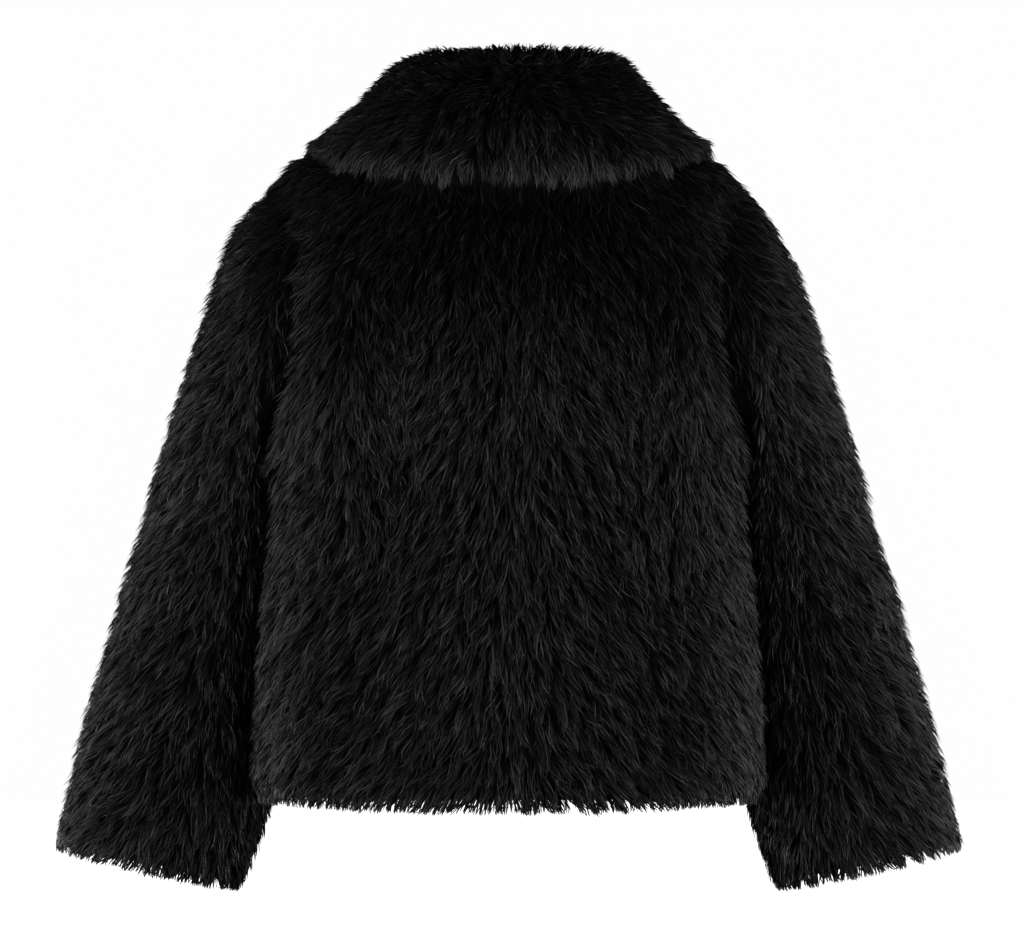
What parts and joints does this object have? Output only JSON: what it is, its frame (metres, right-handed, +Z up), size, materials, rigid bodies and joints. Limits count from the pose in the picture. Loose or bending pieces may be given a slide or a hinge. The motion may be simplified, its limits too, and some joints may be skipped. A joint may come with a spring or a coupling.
{
  "type": "faux fur jacket",
  "caption": "Cropped, wide-sleeved jacket in long black fake fur with a deep fold-over collar, filled out as if worn, hollow and open at neck, front, hem and cuffs.",
  "frame": {"origin": "centre of the neck base, level with the neck seam at centre back, where a wearer or a hanger holds the jacket up", "axes": "+Z up, -Y the way the wearer faces, +X the wearer's left"},
  "size_m": [0.826, 0.3188, 0.7554],
  "materials": {
    "fur": "long soft black pile"
  },
  "bodies": {
    "root": {"back": "fur", "front_left": "fur", "front_right": "fur", "sleeve_left": "fur", "sleeve_right": "fur", "collar": "fur"}
  },
  "joints": []
}
